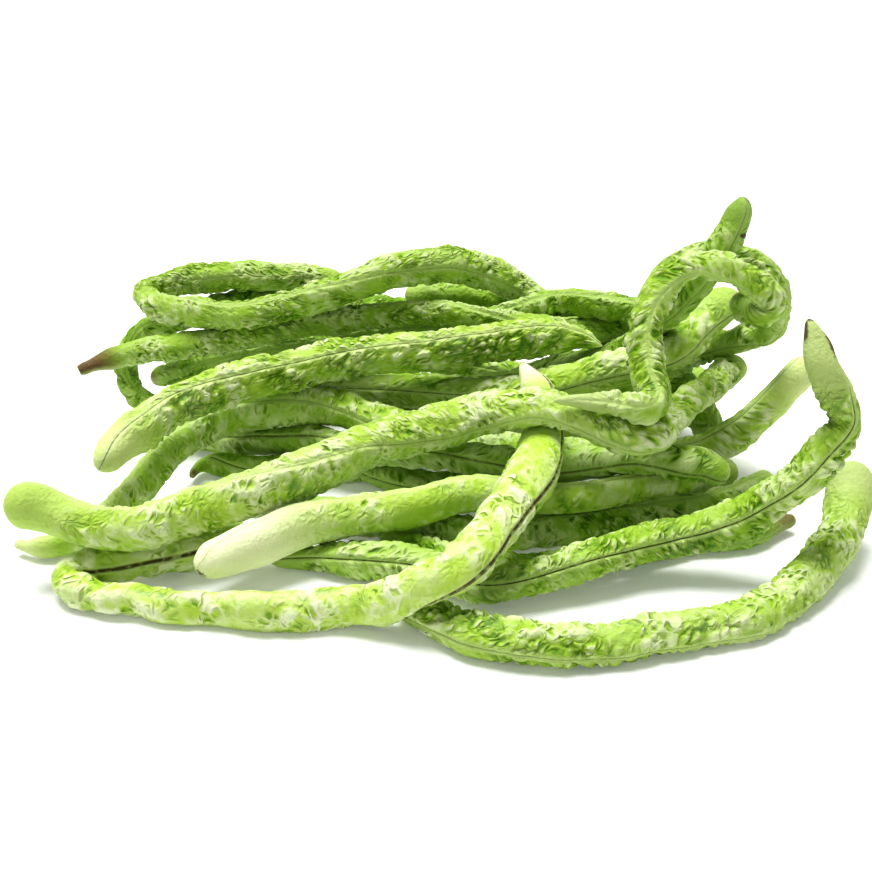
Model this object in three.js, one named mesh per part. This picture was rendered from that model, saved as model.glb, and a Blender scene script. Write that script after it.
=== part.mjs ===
// A loose bunch of yardlong beans, lying as it was put down on a table. Each pod is one long,
// puffy, wrinkled tube with a suture along each side, a blunt blossom end and a stem end, bent
// and folded over its neighbours. Millimetres, +Z up; the front of the heap faces -Y.
import * as THREE from 'three';

// Driving dimensions of a pod.
const SIDES = 10; // sides of a pod's section, with a suture on two of them
const STRAIGHT_STEP = 11.2; // distance between rings on a straight stretch
const TURN_STEP = 0.4; // turn between rings in a bend, in radians
const RELIEF = 0.3; // how far the swollen pads stand over the creases, each way
const SUTURE_RIDGE = [0.4, 0.2]; // how far the two sutures stand out
const SMOOTH_END = 22; // length of the smooth skin at each end
const FLAT_SPOT = 0.35; // how far a pod that lies on the table is pressed flat

// How the heap settles.
const LINK = 3.6; // length of one link of a pod while it settles
const CLEARANCE = 1.05; // air left between the mean skins of two pods
const PASSES = 300; // rounds of pushing pods apart
const STIFFNESS = 0.47; // how far a push spreads along a pod in one round
const HOLD_ACROSS = 0.07; // how strongly a pod keeps to its route, across the line of sight
const HOLD_ALONG = 0.004; // and along it
const TIGHTEST_BEND = 1.12; // tightest bend of a pod, in half thicknesses

// The routes are read from a viewpoint in front of the heap and above it. A point of a route
// is [across, down, height, width, seam]: where it is seen in a square view of VIEW.size
// units, counted from the top left corner, the height of the pod's middle above the table in
// mm, the width of the pod as seen, in view units, and how far the first suture is turned from
// the viewer to the left of the pod's course, in degrees. A width or a seam that is left out
// is between those of the points before and after. A hidden stretch is given as [x, y, z] in mm
// from under the viewpoint's middle.
const VIEW = { size: 872, focal: 1266, height: 225, distance: 414, tilt: 25 };
const HALF_THICK = 5.8; // half the thickness of a hidden stretch

const PODS = [
  {
    name: 'pod_front_sweep', ends: ['blossom', 'point'],
    route: [
      [846, 463, 27, 42, 70], [849, 476, 24, 42], [850, 490, 21, 42], [848, 505, 18, 41],
      [844, 522, 15, 40], [837, 540, 12, 38], [824, 560, 9, 39], [807, 577, 7.4, 40, 60],
      [794, 591, 6.4, 40], [780, 602, 6, 40], [762, 612, 5.8, 38], [744, 620, 5.8, 37],
      [702, 627, 5.8, 38, 45],
      [660, 635, 5.8, 38], [620, 641, 5.9, 39], [585, 644, 6, 41], [550, 644, 6.6, 42, 30],
      [525, 642, 6.6, 43], [500, 639, 6.6, 43, 24], [475, 634, 6.6, 43, 24],
      [450, 626, 6.4, 41, 24], [430, 617, 6, 37], [412, 609, 5, 30], [399, 603, 4.2, 20, 20],
    ],
  },
  {
    name: 'pod_front_bow', ends: ['point', 'blossom'],
    route: [
      [522, 364, 47, 12, 50], [526, 372, 46, 18], [531, 380, 45, 25], [536, 391, 43, 31],
      [540, 405, 41, 34], [541, 420, 39, 37, 48], [541, 432, 37.5, 38], [540, 445, 36, 42],
      [537, 459, 35, 47], [529, 478, 33, 50, 42], [511, 507, 31, 47, 33], [494, 529, 29, 46, 33],
      [477, 552, 26.5, 46, 34], [454, 571, 23.5, 43, 42], [430, 582, 20, 40, 48],
      [412, 590, 16.5, 38, 70], [395, 599, 12, 38, 90], [375, 605, 8.4, 40, 105],
      [345, 608, 6.4, 39, 120], [300, 610, 5.7, 36, 130], [265, 611, 6, 40], [240, 609, 5.7, 37],
      [205, 606, 5.3, 33], [175, 606, 5.2, 33], [145, 601, 5.2, 32, 140], [115, 599, 5.2, 31, 150],
      [86, 593, 5.6, 30, 170], [63, 582, 6.6, 32, 250], [68, 568, 7.6, 36, 330],
      [105, 563, 8.4, 40, 345], [145, 557, 8.4, 41, 350], [185, 550, 7.8, 41], [220, 541, 7.4, 40],
      [250, 533, 7, 36, 355],
    ],
  },
  {
    name: 'pod_front_left', ends: ['blossom', 'blossom'],
    route: [
      [3, 504, 30, 44, 80], [22, 505, 29, 46], [40, 508, 27, 43], [60, 515, 25, 38],
      [80, 523, 23.5, 38], [100, 528, 22.5, 40, 80], [120, 530, 22, 39], [140, 529, 22, 39],
      [160, 523, 22, 41], [180, 517, 22.5, 43], [200, 510, 23.5, 44], [220, 504, 24.5, 43],
      [240, 498, 25.5, 43, 62], [260, 491, 27, 44], [280, 484, 28, 46, 26], [300, 476, 29, 48],
      [320, 468, 30.5, 48], [340, 460, 32, 47, 12], [360, 450, 33.5, 46], [380, 443, 34.5, 45, -12],
      [400, 437, 35.5, 45], [420, 432, 36.5, 45, -30], [440, 426, 37.5, 44, -40],
      [460, 421, 39, 43], [480, 417, 40.5, 41, -44], [500, 415, 42, 39], [520, 414, 44, 37, -36],
      [540, 414, 45, 34], [560, 416, 45.5, 33], [580, 421, 45, 32, -40], [600, 427, 44, 33],
      [620, 434, 43, 35, -50], [638, 438, 42, 34], [655, 434, 41.5, 32], [668, 423, 41.5, 30, -60],
      [680, 409, 41.5, 28], [694, 398, 41, 27], [711, 384, 40, 27, -70], [726, 370, 39, 27],
      [736, 361, 38, 25],
    ],
  },
  {
    name: 'pod_right_seam', ends: ['point', 'point'],
    route: [
      [808, 319, 88, 14, 100], [812, 329, 86, 22], [815, 340, 83, 27], [817, 350, 80, 31, 95],
      [821, 363, 77, 35], [825, 374, 73.5, 36], [830, 384, 70, 36, 86], [835, 394, 66.5, 35, 60],
      [842, 406, 63, 33, 32], [847, 416, 59, 32, 18], [846, 425, 56, 33, 16],
      [841, 434, 53, 35, 16], [831, 445, 49.5, 38, 20], [820, 456, 46, 39, 22],
      [810, 469, 42, 39, 18], [800, 480, 38.5, 38], [788, 489, 35, 38], [770, 500, 30, 39, 15], [742, 516, 23.5, 40, 16], [700, 531, 17.5, 37, 16],
      [660, 539, 14.5, 36, 24], [620, 551, 12.5, 37, 14], [600, 556, 12, 37], [570, 565, 11, 38, 12],
      [540, 575, 9.5, 35], [510, 583, 8, 34, 11], [485, 586, 6.8, 34, 8], [460, 580, 6.3, 34],
      [440, 572, 6.4, 35], [413, 564, 6.8, 37, 12], [378, 560, 7, 39, 12], [345, 558, 6, 34],
      [315, 557, 4.8, 26], [290, 558, 4, 19], [270, 560, 3.6, 14, 10],
    ],
  },
  {
    name: 'pod_right_stem', ends: ['stem', 'blossom'],
    route: [
      [791, 520, 4.4, 20, 40], [779, 524, 5, 22], [766, 527, 5.4, 26], [752, 530, 5.6, 29],
      [735, 534, 5.7, 30], [700, 536, 5.7, 30, 30], [660, 544, 5.7, 30], [620, 553, 5.7, 30],
      [580, 562, 5.7, 30], [540, 568, 5.6, 30, 60], [510, 569, 5.6, 30], [480, 567, 5.4, 29],
      [450, 559, 5.4, 28], [420, 549, 5.4, 28, 80], [380, 541, 5.2, 26],
    ],
  },
  {
    name: 'pod_pale_end', ends: ['blossom', 'blossom'],
    route: [
      [197, 573, 14, 42, 50], [207, 567, 14, 43], [221, 560, 14.5, 43, 70], [240, 551, 15, 43, 80],
      [260, 543, 15.5, 43], [280, 534, 16, 41], [300, 527, 16.5, 40], [320, 522, 17, 40, 84],
      [340, 519, 17.5, 39], [360, 516, 18, 38], [380, 513, 18, 36], [400, 509, 18.5, 37, 86],
      [420, 506, 19, 37], [440, 500, 19, 35], [460, 495, 19, 35], [480, 494, 18.5, 35, 84],
      [500, 495, 18, 34], [540, 498, 17, 32], [566, 498, 16.5, 31], [600, 496, 16, 30, 76],
      [640, 489, 15, 28], [680, 482, 14, 28, 70],
    ],
    after: [[96, 12, 10], [112, 30, 6.5]],
  },
  {
    name: 'pod_flat_seam', ends: ['blossom', 'blossom'],
    route: [
      [727, 480, 18, 26, 45], [715, 477, 19, 29, 38], [700, 473, 19.5, 33, 32],
      [680, 473, 20, 35], [640, 471, 21, 34, 32], [600, 471, 22, 33, 17], [560, 468, 23, 32, 16],
      [500, 460, 24, 34, 8], [470, 457, 23, 33, 0], [440, 453, 21.5, 31, -8], [400, 451, 18, 29],
      [360, 449, 15, 29], [330, 447, 13, 28, -16], [300, 444, 11, 28], [260, 443, 9, 28, -20],
      [228, 441, 7.5, 27], [204, 437, 6.4, 25, -10],
    ],
    after: [[-105, 64, 5.6]],
  },
  {
    name: 'pod_middle', ends: ['blossom', 'blossom'],
    route: [
      [770, 478, 6.4, 20, 140], [756, 484, 6.4, 23], [738, 492, 6.3, 25], [718, 500, 6.2, 27],
      [680, 507, 6.2, 30, 130], [640, 514, 6.1, 32], [600, 522, 6.1, 33], [560, 528, 6.1, 33],
      [520, 532, 6.1, 33, 120], [480, 533, 6.1, 32], [450, 531, 5.9, 30], [410, 527, 5.8, 29],
      [370, 521, 5.8, 28], [330, 514, 5.8, 28, 100], [290, 506, 5.6, 28], [250, 498, 5.4, 27],
    ],
  },
  {
    name: 'pod_arch', ends: ['stem', 'blossom'],
    route: [
      [18, 544, 4, 15, 60], [28, 547, 4.4, 16], [45, 547, 5, 19], [62, 544, 5.6, 23],
      [85, 535, 6.4, 27], [105, 521, 8, 29, 55], [122, 507, 10, 30], [137, 490, 12.5, 30],
      [153, 470, 15.5, 30, 45], [172, 450, 18.5, 31], [195, 432, 21.5, 33, 34],
      [218, 421, 23.5, 35], [240, 414, 25, 37, 23], [270, 410, 26.5, 40, 17],
      [300, 409, 27, 42, 8], [335, 412, 27, 40, -5], [370, 421, 26, 37, -14], [400, 431, 25, 34],
      [440, 440, 25, 32, -20], [495, 447, 26, 30], [540, 450, 26, 28, -25], [585, 451, 25, 26],
      [620, 455, 24, 25],
    ],
  },
  {
    name: 'pod_low_stem', ends: ['stem', 'blossom'],
    route: [
      [192, 476, 3.4, 18, 80], [198, 467, 4, 20], [207, 463, 4.4, 23, 50], [220, 464, 4.7, 25, 21],
      [240, 467, 4.8, 26, 4], [258, 468, 4.9, 26, -9], [290, 468, 5, 27], [330, 467, 5, 27, -15],
      [362, 468, 5, 27], [392, 478, 5, 27], [425, 484, 5, 27, -20], [470, 487, 5, 28],
      [520, 489, 5, 28, 20], [570, 490, 5, 28],
    ],
  },
  {
    name: 'pod_upper_front', ends: ['blossom', 'point'],
    route: [
      [99, 470, 30, 32, 25], [107, 459, 32, 34, 35], [120, 445, 34, 38, 52], [140, 430, 36.5, 41],
      [160, 415, 38.5, 42, 52], [180, 403, 40, 41], [200, 395, 41, 40, 55], [220, 389, 42, 40],
      [240, 383, 43, 40, 50], [260, 378, 43.5, 39], [300, 370, 44, 38, 50], [340, 361, 45, 38],
      [380, 355, 46.5, 38, 55], [414, 352, 48, 39], [448, 348, 49, 38], [480, 344, 50, 37, 60],
      [505, 341, 51, 38], [534, 339, 52, 39], [551, 338, 52, 38], [568, 338, 52, 34, 70],
      [585, 340, 51.5, 26], [596, 344, 51, 18], [603, 347, 50.5, 12, 80],
    ],
  },
  {
    name: 'pod_brown_tip', ends: ['stem', 'blossom'],
    route: [
      [79, 371, 38, 17, 100], [88, 367, 39, 17.5], [100, 362, 40, 18], [120, 356, 42, 19],
      [140, 351, 43.5, 20], [160, 348, 44.5, 23], [180, 346, 45.5, 24, 110], [200, 343, 46.5, 24],
      [220, 340, 47.5, 24], [240, 336, 48.5, 24], [260, 333, 49.5, 24, 110], [300, 325, 51.5, 23],
      [340, 320, 53, 23], [380, 315, 54, 22], [414, 313, 55, 21, 80], [440, 313, 54.5, 20],
      [460, 315, 54, 20], [490, 319, 52, 21], [525, 325, 50, 23], [560, 329, 48, 25, -20],
      [600, 332, 46, 26, -45], [640, 330, 43, 26, -50], [676, 323, 40, 25, -50],
    ],
  },
  {
    name: 'pod_cut_end', ends: ['blossom', 'blossom'],
    route: [
      [151, 380, 30, 18, -30], [165, 375, 31, 20], [180, 370, 32, 20.5], [200, 363, 34, 21],
      [220, 357, 36, 22], [250, 352, 38, 22, -10], [290, 347, 40, 22], [330, 342, 41.5, 22],
      [370, 336, 43.5, 22], [410, 331, 45.5, 22, 10], [440, 328, 47.5, 22], [470, 323, 50, 21],
      [500, 318, 52.5, 22], [520, 312, 54, 24], [560, 306, 56, 26, 30], [600, 310, 56.5, 26],
      [640, 313, 56, 26], [676, 314, 54, 25, 30],
    ],
  },
  {
    name: 'pod_top_loop', ends: ['blossom', 'blossom'],
    route: [
      [556, 314, 50, 22, 30], [540, 302, 53, 24], [522, 289, 57, 28, 22], [502, 278, 62, 32],
      [482, 271, 66, 36], [460, 266, 69, 38, 20], [440, 265, 71, 37, 17], [420, 267, 72, 34],
      [400, 270, 72, 33, 18], [380, 275, 71, 34], [360, 283, 69, 33, 0], [340, 290, 67, 31],
      [320, 297, 65, 30, -28], [300, 303, 63, 29], [280, 308, 61, 27], [260, 313, 60, 26, -40],
      [240, 316, 59, 26], [220, 316, 58.5, 26], [200, 314, 58, 26, -50], [180, 311, 58, 25],
      [163, 308, 58, 24, -70], [149, 300, 57.5, 22, -100], [148, 291, 56.5, 22, -140],
      [162, 287, 56.5, 25, -170], [180, 282, 57, 28, -185], [200, 278, 57.5, 29, -200],
      [220, 276, 58, 29, -192], [240, 276, 58, 29, -186], [260, 277, 58, 28], [280, 279, 57, 26],
      [300, 279, 56, 25, -186], [322, 281, 55, 24], [342, 285, 53, 22, -186],
    ],
  },
  {
    name: 'pod_left_curl', ends: ['blossom', 'blossom'],
    before: [[30, 105, 36], [5, 106, 40], [-22, 107, 43]],
    route: [
      [340, 306, 45, 24, 30], [305, 301, 46.5, 24], [272, 299, 47, 24], [243, 301, 46, 24, 20],
      [214, 308, 44, 24], [188, 316, 42, 24, -10], [165, 325, 39.5, 24, -20], [146, 332, 36, 23, -20],
      [133, 346, 30, 22], [126, 362, 23.5, 21], [127, 378, 16.5, 21, 20], [133, 392, 10.5, 21],
      [146, 403, 6, 21], [166, 411, 5, 21, 40],
    ],
    after: [[-92, 98, 5.2], [-70, 106, 5.2], [-45, 106, 5.2]],
  },
  {
    name: 'pod_back_end', ends: ['blossom', 'blossom'],
    route: [
      [405, 297, 50, 20, -70], [420, 295, 50.5, 20], [440, 294, 50.5, 20], [470, 296, 50, 20, -70],
      [500, 299, 49, 20], [520, 301, 48, 20],
    ],
    after: [[50, 104, 42], [66, 98, 37], [82, 88, 33], [96, 76, 29], [108, 62, 24]],
  },
  {
    name: 'pod_right_diagonal', ends: ['blossom', 'blossom'],
    route: [
      [735, 290, 70, 30, 45], [729, 297, 67, 35], [714, 309, 63, 36, 40], [701, 320, 60, 37],
      [681, 337, 55.5, 37, 26], [665, 350, 52, 37], [640, 360, 48.5, 38, 30], [619, 366, 45.5, 38, 22],
      [600, 371, 43, 38], [580, 378, 40, 37, 20], [555, 386, 37, 37], [525, 392, 33.5, 37, 10],
      [480, 394, 30, 36], [440, 393, 28, 34], [400, 391, 26, 32, 0], [350, 389, 25, 30],
      [310, 389, 24, 29],
    ],
    after: [[-58, 62, 22.5], [-82, 66, 21]],
  },
  {
    name: 'pod_knot_front', ends: ['point', 'blossom'],
    route: [
      [553, 402, 54, 14, 10], [575, 402, 54, 15], [595, 403, 54, 17], [615, 405, 53.5, 21, 0],
      [632, 409, 53, 24], [648, 413, 52, 27, -10], [658, 407, 53, 31], [654, 395, 55.5, 36, 8],
      [649, 381, 59, 38], [647, 365, 63, 37, 4], [645, 347, 68.5, 34], [645, 329, 74, 31, 0],
      [650, 309, 80, 31], [658, 292, 85, 31, -10], [669, 279, 89, 29], [685, 268, 92, 26, -40],
      [706, 264, 93, 24], [727, 269, 91.5, 25], [750, 280, 88, 27, -70], [767, 291, 84, 28],
      [773, 305, 78.5, 28, -60], [764, 314, 75, 27], [750, 311, 73.5, 25, -40],
      [738, 300, 73, 22],
    ],
  },
  {
    name: 'pod_knot_back', ends: ['blossom', 'blossom'],
    route: [
      [650, 322, 66, 24, 120], [656, 300, 74, 24], [668, 280, 82, 25], [684, 266, 88, 25, 100],
      [700, 259, 91, 24], [716, 257, 92, 24], [731, 258, 91.5, 25, 80], [745, 262, 90, 25],
      [758, 270, 87, 26], [769, 280, 83, 26, 60], [776, 293, 77.5, 25], [776, 307, 71, 25],
      [773, 320, 64, 25, 40],
      [767, 331, 57.5, 25], [751, 338, 52, 25, 30], [731, 343, 47, 25], [711, 349, 43, 25, 25],
      [693, 356, 40, 25], [676, 366, 37, 26], [650, 378, 34, 27, 0], [620, 387, 31.5, 28],
      [588, 394, 29, 28, -10], [555, 399, 26, 27],
    ],
    after: [[28, 58, 20], [0, 68, 18], [-28, 76, 18]],
  },
  {
    name: 'pod_top_tip', ends: ['point', 'blossom'],
    route: [
      [742, 196, 114, 16, 20], [741, 205, 111, 23], [736, 219, 106, 30], [725, 240, 98.5, 31, 15],
      [710, 264, 90, 29], [694, 287, 80, 27, 10], [676, 309, 70, 26], [654, 331, 57, 26],
      [625, 350, 44, 26],
    ],
    after: [[48, 84, 24], [30, 92, 14], [6, 100, 7.5], [-22, 102, 5.8], [-50, 100, 5.6]],
  },
  {
    name: 'pod_pale_right', ends: ['blossom', 'blossom'],
    route: [
      [810, 362, 45, 28, -55], [802, 371, 42.5, 31], [791, 383, 38.5, 31, -55], [774, 401, 32, 31],
      [758, 419, 25.5, 31, -52], [742, 433, 18.5, 32], [718, 449, 11.5, 34, -45], [690, 457, 8.5, 33],
      [650, 454, 6.8, 31], [600, 443, 6.4, 30, -30], [550, 432, 6.2, 29], [500, 426, 6.1, 28],
      [450, 421, 6, 27, -10], [400, 416, 5.8, 26], [350, 412, 5.6, 25],
    ],
  },
  {
    name: 'pod_right_drop', ends: ['blossom', 'blossom'],
    before: [[52, 96, 44], [62, 86, 42]],
    route: [
      [660, 345, 40, 26, 10], [673, 363, 35.5, 27], [684, 384, 29, 30, 10], [696, 404, 22, 34],
      [707, 422, 15, 36, 15], [717, 438, 9.5, 34],
    ],
    after: [[110, 54, 6.2]],
  },
  {
    name: 'pod_underneath', ends: ['blossom', 'stem'],
    before: [[-104, 84, 16], [-80, 84, 15], [-40, 84, 14], [0, 82, 14]],
    route: [],
    after: [[40, 66, 15], [70, 52, 15], [94, 44, 14]],
  },
  {
    name: 'pod_behind', ends: ['blossom', 'blossom'],
    before: [[-118, 92, 30], [-100, 104, 26], [-70, 112, 22], [-30, 118, 18], [10, 120, 12]],
    route: [],
    after: [[40, 118, 7], [70, 108, 5.8], [94, 92, 5.6]],
  },
];

const tilt = THREE.MathUtils.degToRad(VIEW.tilt);
const EYE = new THREE.Vector3(0, -VIEW.distance, VIEW.height);
const LOOK = new THREE.Vector3(0, Math.cos(tilt), -Math.sin(tilt));
const VIEW_UP = new THREE.Vector3(0, Math.sin(tilt), Math.cos(tilt));
const TOWARDS_VIEWER = LOOK.clone().negate();

// The place at the given height that is seen at [across, down].
function placeSeenAt([across, down, height]) {
  const sight = LOOK.clone().multiplyScalar(VIEW.focal);
  sight.x += across - VIEW.size / 2;
  sight.addScaledVector(VIEW_UP, VIEW.size / 2 - down);
  return EYE.clone().addScaledVector(sight, (height - EYE.z) / sight.z);
}

// Fills each gap in a list of values from the values on both sides of it.
function fillGaps(values) {
  const known = values.map((value, i) => (value === undefined ? -1 : i)).filter((i) => i >= 0);
  return values.map((value, i) => {
    if (value !== undefined) return value;
    const before = known.filter((k) => k < i).pop();
    const after = known.find((k) => k > i);
    if (before === undefined) return values[after];
    if (after === undefined) return values[before];
    return THREE.MathUtils.lerp(values[before], values[after], (i - before) / (after - before));
  });
}

// Every point of a pod's course: where it is, half the thickness and the seam's turn there.
function courseOf({ before = [], route, after = [] }) {
  const hidden = (point) => ({ place: new THREE.Vector3(...point), half: HALF_THICK, seen: 0 });
  const shown = (point) => {
    const place = placeSeenAt(point);
    const away = place.clone().sub(EYE).dot(LOOK);
    const half = point[3] && (point[3] / 2) * (away / VIEW.focal);
    return { place, half, seam: point[4], seen: 1 };
  };
  const course = [...before.map(hidden), ...route.map(shown), ...after.map(hidden)];
  const halves = fillGaps(course.map((point) => point.half));
  const seams = fillGaps(course.map((point) => point.seam));
  return course.map((point, i) => ({ ...point, half: halves[i], seam: seams[i] ?? 0 }));
}

// A pod as a chain of links of equal length along the smooth curve through its course.
function chainOf(pod) {
  const course = courseOf(pod);
  const curve = new THREE.CatmullRomCurve3(course.map((p) => p.place), false, 'centripetal');
  curve.arcLengthDivisions = 800;
  const count = Math.round(curve.getLength() / LINK);
  const chain = { pod, rest: [], half: [], seam: [], seen: [] };
  for (let k = 0; k <= count; k++) {
    const along = curve.getUtoTmapping(k / count) * (course.length - 1);
    const from = Math.min(Math.floor(along), course.length - 2);
    const mix = (key) =>
      THREE.MathUtils.lerp(course[from][key], course[from + 1][key], along - from);
    chain.rest.push(curve.getPointAt(k / count));
    chain.half.push(mix('half'));
    chain.seam.push(mix('seam'));
    chain.seen.push(mix('seen'));
  }
  easeBends(chain);
  chain.at = chain.rest.map((point) => point.clone());
  return chain;
}

// Opens any bend that is tighter than a pod of this thickness can make.
function easeBends({ rest, half }) {
  for (let pass = 0; pass < 400; pass++) {
    for (let k = 2; k < rest.length - 2; k++) {
      const into = rest[k].clone().sub(rest[k - 2]);
      const out = rest[k + 2].clone().sub(rest[k]);
      const bend = into.length() / Math.max(into.angleTo(out), 1e-6);
      if (bend >= TIGHTEST_BEND * half[k]) continue;
      for (const n of [k - 1, k, k + 1]) {
        const between = rest[n - 1].clone().add(rest[n + 1]).multiplyScalar(0.5);
        rest[n].lerp(between, 0.2);
      }
    }
  }
}

// Pushes apart any two links that stand closer than their skins allow.
function separate(chains) {
  const links = chains.flatMap((chain, c) =>
    chain.at.map((point, k) => ({ point, c, k, half: chain.half[k] })));
  const push = new THREE.Vector3();
  links.forEach((a, i) => {
    for (let j = i + 1; j < links.length; j++) {
      const b = links[j];
      const reach = a.half + b.half + CLEARANCE;
      if (a.c === b.c && (b.k - a.k) * LINK < 2 * reach) continue;
      if (Math.abs(a.point.x - b.point.x) > reach) continue;
      if (Math.abs(a.point.y - b.point.y) > reach) continue;
      push.subVectors(a.point, b.point);
      const apart = push.length();
      if (apart >= reach) continue;
      push.multiplyScalar((0.42 * (reach - apart)) / apart);
      a.point.add(push);
      b.point.sub(push);
    }
  });
}

// Spreads each push along the pod, so that it stays a smooth curve, lets it slip back towards
// its own route, and keeps it on the table.
function relax(chain, hold) {
  const shift = chain.at.map((point, k) => point.clone().sub(chain.rest[k]));
  const last = shift.length - 1;
  chain.at.forEach((point, k) => {
    const beside = shift[Math.max(k - 1, 0)].clone().add(shift[Math.min(k + 1, last)]);
    const smooth = shift[k].clone().lerp(beside.multiplyScalar(0.5), STIFFNESS);
    const sight = chain.rest[k].clone().sub(EYE).normalize();
    const along = smooth.dot(sight);
    const across = smooth.addScaledVector(sight, -along);
    point.copy(chain.rest[k]);
    point.addScaledVector(across, 1 - hold * HOLD_ACROSS * chain.seen[k]);
    point.addScaledVector(sight, along * (1 - hold * HOLD_ALONG));
    point.z = Math.max(point.z, chain.half[k] - FLAT_SPOT);
  });
}

function settle(chains) {
  for (let pass = 0; pass < PASSES; pass++) {
    const hold = 1 - THREE.MathUtils.smoothstep(pass, 0.6 * PASSES, 0.9 * PASSES);
    chains.forEach((chain) => relax(chain, hold));
    separate(chains);
  }
}

// How full a pod is at a distance from its end, from 0 at the tip to 1.
const END_FORMS = {
  blossom: (d, r) => Math.sqrt(1 - (1 - Math.min(d / (1.1 * r), 1)) ** 2),
  point: (d, r) => Math.sqrt(1 - (1 - Math.min(d / (1.6 * r), 1)) ** 2),
  stem: (d, r) => 0.62 + 0.38 * THREE.MathUtils.smoothstep(d, r, 4 * r),
};
// Where the rings of an end stand, in half thicknesses from its tip.
const END_RINGS = {
  blossom: [0.1, 0.38, 0.9],
  point: [0.12, 0.5, 1.3],
  stem: [0.02, 1.2, 2.6, 4],
};

// Distances along a pod at which it has a ring: close together where it bends.
function stations(curve, length, chain) {
  const [first, last] = [chain.half[1], chain.half[chain.half.length - 2]];
  const start = END_RINGS[chain.pod.ends[0]].map((r) => r * first);
  const finish = END_RINGS[chain.pod.ends[1]].map((r) => length - r * last).reverse();
  const from = start[start.length - 1];
  const to = finish[0];
  const stops = Math.ceil((to - from) / 0.5);
  const effort = [0];
  let tangent = curve.getTangentAt(from / length);
  for (let n = 1; n <= stops; n++) {
    const next = curve.getTangentAt((from + ((to - from) * n) / stops) / length);
    const turned = tangent.angleTo(next);
    effort.push(effort[n - 1] + (to - from) / stops / STRAIGHT_STEP + turned / TURN_STEP);
    tangent = next;
  }
  const gaps = Math.ceil(effort[stops]);
  const middle = [];
  for (let n = 1, g = 1; g < gaps; g++) {
    while (effort[n] < (effort[stops] * g) / gaps) n++;
    middle.push(from + ((to - from) * n) / stops);
  }
  return [...start, ...middle, ...finish];
}

// The way the first suture faces: turned from the viewer to the left of the pod's course.
function seamDirection(tangent, turn) {
  const facing = TOWARDS_VIEWER.clone().addScaledVector(tangent, -TOWARDS_VIEWER.dot(tangent));
  facing.normalize();
  const left = new THREE.Vector3().crossVectors(facing, tangent);
  const angle = THREE.MathUtils.degToRad(turn);
  return facing.multiplyScalar(Math.cos(angle)).addScaledVector(left, Math.sin(angle));
}

// The skin's height over the mean radius: sutures stand out, and between them the skin swells
// and sinks in turn, from one side to the next and from one ring to the next.
function skinRelief(ring, side, distanceToEnd) {
  const grown = THREE.MathUtils.smoothstep(distanceToEnd, 0.3 * SMOOTH_END, SMOOTH_END);
  if (side === 0) return SUTURE_RIDGE[0] * grown;
  if (side === SIDES / 2) return SUTURE_RIDGE[1] * grown;
  return RELIEF * grown * ((ring + side) % 2 ? 1 : -1);
}

function valueAlong(values, share) {
  const along = share * (values.length - 1);
  const from = Math.min(Math.floor(along), values.length - 2);
  return THREE.MathUtils.lerp(values[from], values[from + 1], along - from);
}

function podGeometry(chain) {
  const { pod, at } = chain;
  const curve = new THREE.CatmullRomCurve3(at, false, 'centripetal');
  curve.arcLengthDivisions = at.length * 8;
  const length = curve.getLength();
  const points = [];
  const rings = stations(curve, length, chain);
  rings.forEach((along, ring) => {
    const centre = curve.getPointAt(along / length);
    const tangent = curve.getTangentAt(along / length);
    const half = valueAlong(chain.half, along / length);
    const out = seamDirection(tangent, valueAlong(chain.seam, along / length));
    const toEnd = Math.min(along, length - along);
    const fullness = END_FORMS[pod.ends[0]](along, half)
      * END_FORMS[pod.ends[1]](length - along, half);
    for (let side = 0; side < SIDES; side++) {
      const reach = half * fullness + skinRelief(ring, side, toEnd);
      const spoke = out.clone().applyAxisAngle(tangent, (2 * Math.PI * side) / SIDES);
      const point = centre.clone().addScaledVector(spoke, reach);
      point.z = Math.max(point.z, 0);
      points.push(point);
    }
  });
  points.push(curve.getPointAt(0), curve.getPointAt(1));
  return skinThrough(points, rings.length);
}

// The closed skin over rings of points, with the two tips as the last two points.
function skinThrough(points, ringCount) {
  const index = [];
  const at = (ring, side) => ring * SIDES + (side % SIDES);
  const [firstTip, lastTip] = [ringCount * SIDES, ringCount * SIDES + 1];
  for (let side = 0; side < SIDES; side++) {
    index.push(firstTip, at(0, side + 1), at(0, side));
    index.push(lastTip, at(ringCount - 1, side), at(ringCount - 1, side + 1));
    for (let ring = 0; ring < ringCount - 1; ring++) {
      index.push(at(ring, side), at(ring, side + 1), at(ring + 1, side + 1));
      index.push(at(ring, side), at(ring + 1, side + 1), at(ring + 1, side));
    }
  }
  const geometry = new THREE.BufferGeometry().setFromPoints(points);
  geometry.setIndex(index);
  return geometry;
}

const skin = new THREE.MeshStandardMaterial({ color: 0x9cc24e, roughness: 0.55, metalness: 0 });
const paleSkin = new THREE.MeshStandardMaterial({ color: 0xc3d887, roughness: 0.5, metalness: 0 });
const PALE_PODS = ['pod_pale_end', 'pod_pale_right', 'pod_front_bow'];

const chains = PODS.map(chainOf);
settle(chains);

const bunch = new THREE.Group();
bunch.name = 'yardlong_bean_bunch';
for (const chain of chains) {
  const material = PALE_PODS.includes(chain.pod.name) ? paleSkin : skin;
  const mesh = new THREE.Mesh(podGeometry(chain), material);
  mesh.name = chain.pod.name;
  bunch.add(mesh);
}

// The origin is on the table, under the middle of the heap.
const box = new THREE.Box3().setFromObject(bunch);
const middle = box.getCenter(new THREE.Vector3());
bunch.children.forEach((mesh) => mesh.position.set(-middle.x, -middle.y, -box.min.z));

export default bunch;
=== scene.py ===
import math

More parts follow.
